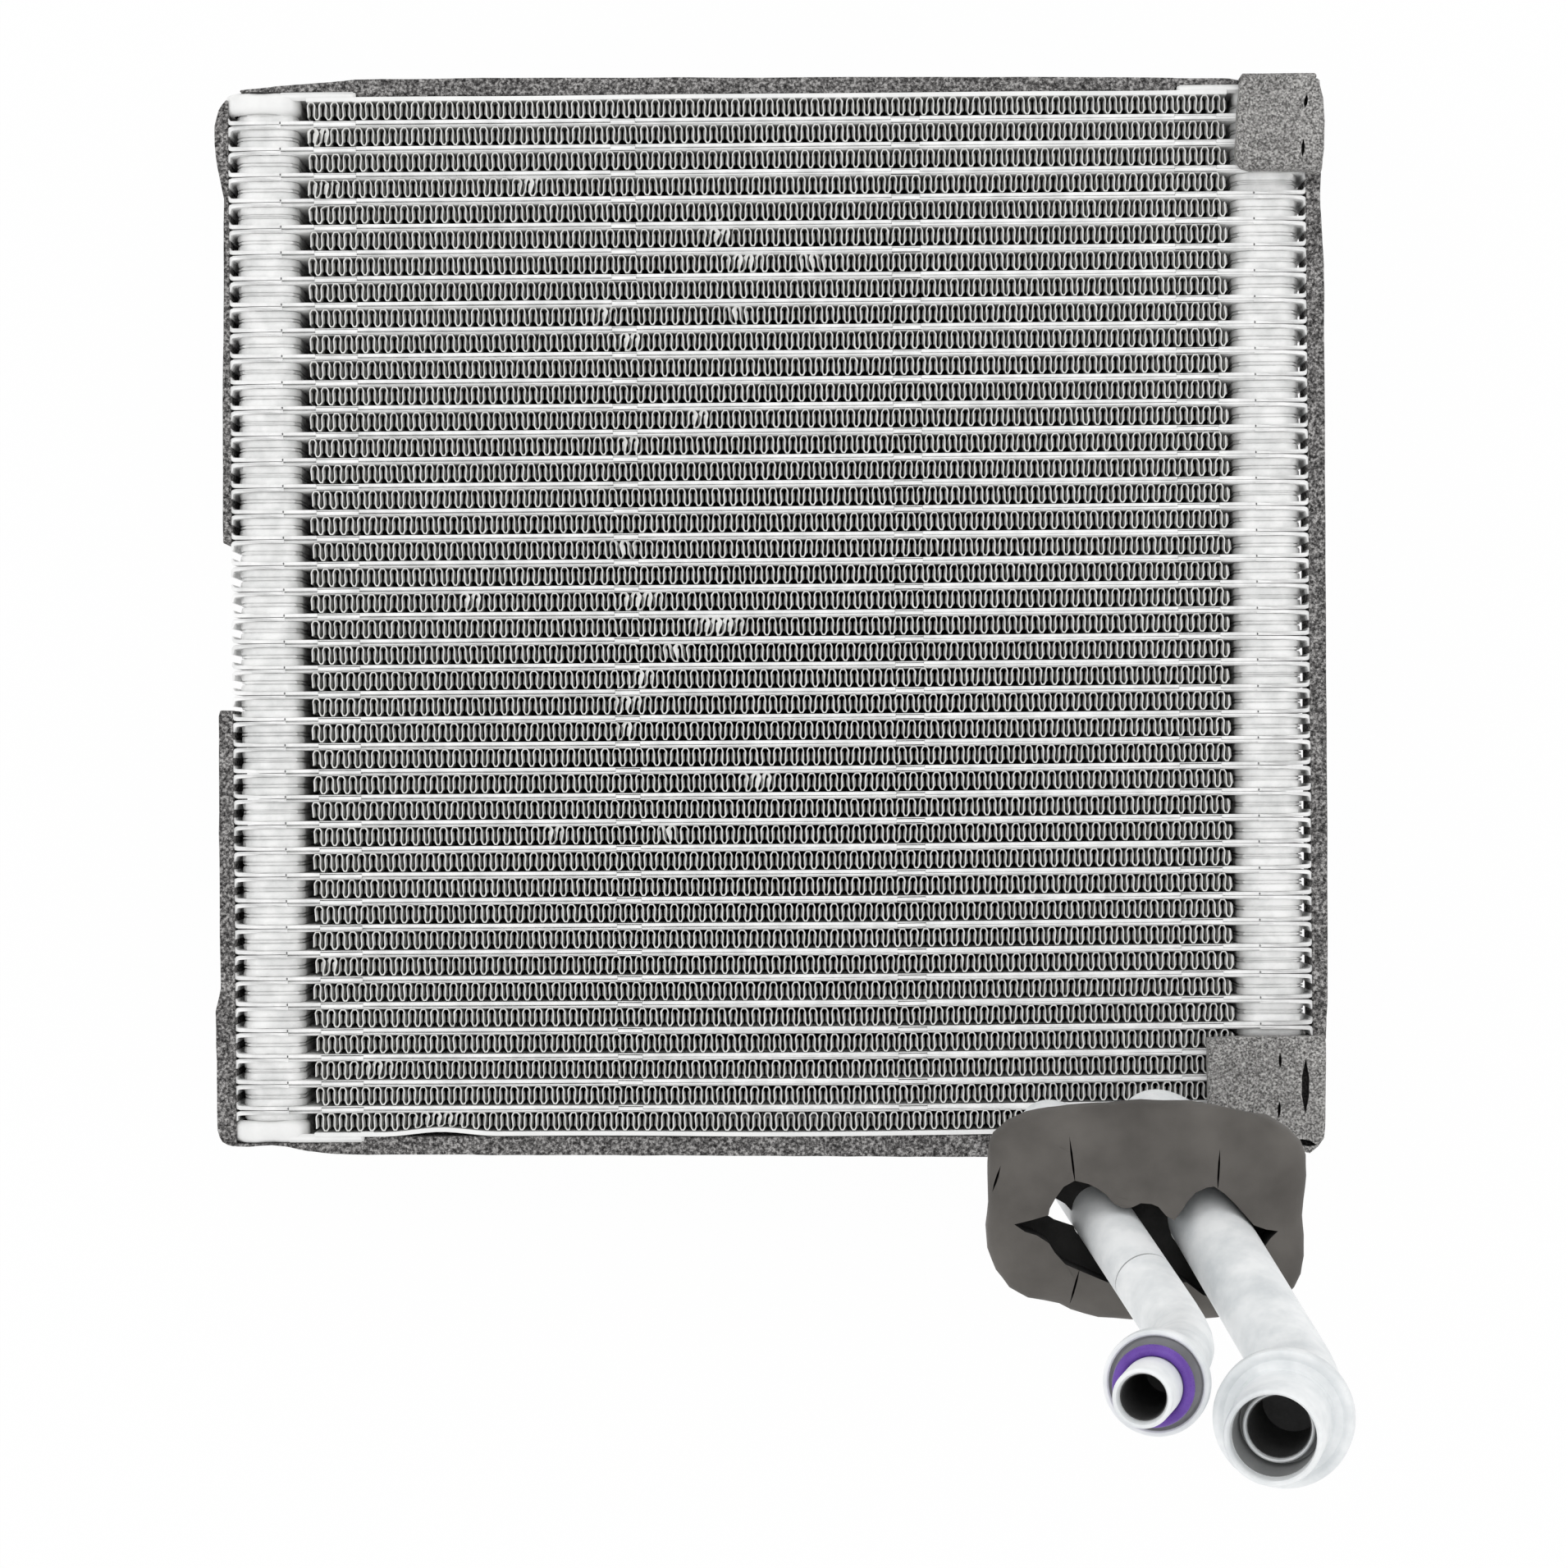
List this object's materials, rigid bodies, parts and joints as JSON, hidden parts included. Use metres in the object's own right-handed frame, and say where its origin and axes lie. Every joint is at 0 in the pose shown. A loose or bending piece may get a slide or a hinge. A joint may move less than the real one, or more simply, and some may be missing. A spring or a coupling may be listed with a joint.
{
  "type": "evaporator core",
  "caption": "Laminated evaporator core of stamped tube plates and folded fins, with end caps, foam tape, a moulded seal pad and two bent pipes.",
  "frame": {"origin": "centre of the core's back face", "axes": "+X across the core towards the pipes, +Y up the tube stack, +Z out of the front face, along which the pipes leave"},
  "size_m": [0.2574, 0.2996, 0.2139],
  "materials": {
    "stamped_plate": "matte brazed sheet",
    "fin_sheet": "thin brazed sheet",
    "end_sheet": "matte brazed sheet",
    "drawn_pipe": "matte drawn tube",
    "machined_block": "machined",
    "foam_tape": "open cell foam",
    "corner_foam": "coarse open cell foam",
    "moulded_seal": "moulded skin foam",
    "ring_rubber": "smooth"
  },
  "bodies": {
    "root": {"bottom_side_plate": "end_sheet", "connector_block": "machined_block", "corner_pad_bottom_right": "corner_foam", "corner_pad_top_right": "corner_foam", "end_cap_bottom_left": "end_sheet", "end_cap_bottom_right": "end_sheet", "end_cap_top_left": "end_sheet", "end_cap_top_right": "end_sheet", "fin_strips": "fin_sheet", "foam_bottom": "foam_tape", "foam_left_lower": "foam_tape", "foam_left_upper": "foam_tape", "foam_right": "foam_tape", "foam_top": "foam_tape", "liquid_pipe": "drawn_pipe", "o_ring": "ring_rubber", "seal_pad": "moulded_seal", "suction_pipe": "drawn_pipe", "top_side_plate": "end_sheet", "tube_01": "stamped_plate", "tube_02": "stamped_plate", "tube_03": "stamped_plate", "tube_04": "stamped_plate", "tube_05": "stamped_plate", "tube_06": "stamped_plate", "tube_07": "stamped_plate", "tube_08": "stamped_plate", "tube_09": "stamped_plate", "tube_10": "stamped_plate", "tube_11": "stamped_plate", "tube_12": "stamped_plate", "tube_13": "stamped_plate", "tube_14": "stamped_plate", "tube_15": "stamped_plate", "tube_16": "stamped_plate", "tube_17": "stamped_plate", "tube_18": "stamped_plate", "tube_19": "stamped_plate", "tube_20": "stamped_plate", "tube_21": "stamped_plate", "tube_22": "stamped_plate", "tube_23": "stamped_plate", "tube_24": "stamped_plate", "tube_25": "stamped_plate", "tube_26": "stamped_plate", "tube_27": "stamped_plate", "tube_28": "stamped_plate", "tube_29": "stamped_plate", "tube_30": "stamped_plate", "tube_31": "stamped_plate", "tube_32": "stamped_plate", "tube_33": "stamped_plate", "tube_34": "stamped_plate", "tube_35": "stamped_plate", "tube_36": "stamped_plate", "tube_37": "stamped_plate", "tube_38": "stamped_plate", "tube_39": "stamped_plate"}
  },
  "joints": []
}
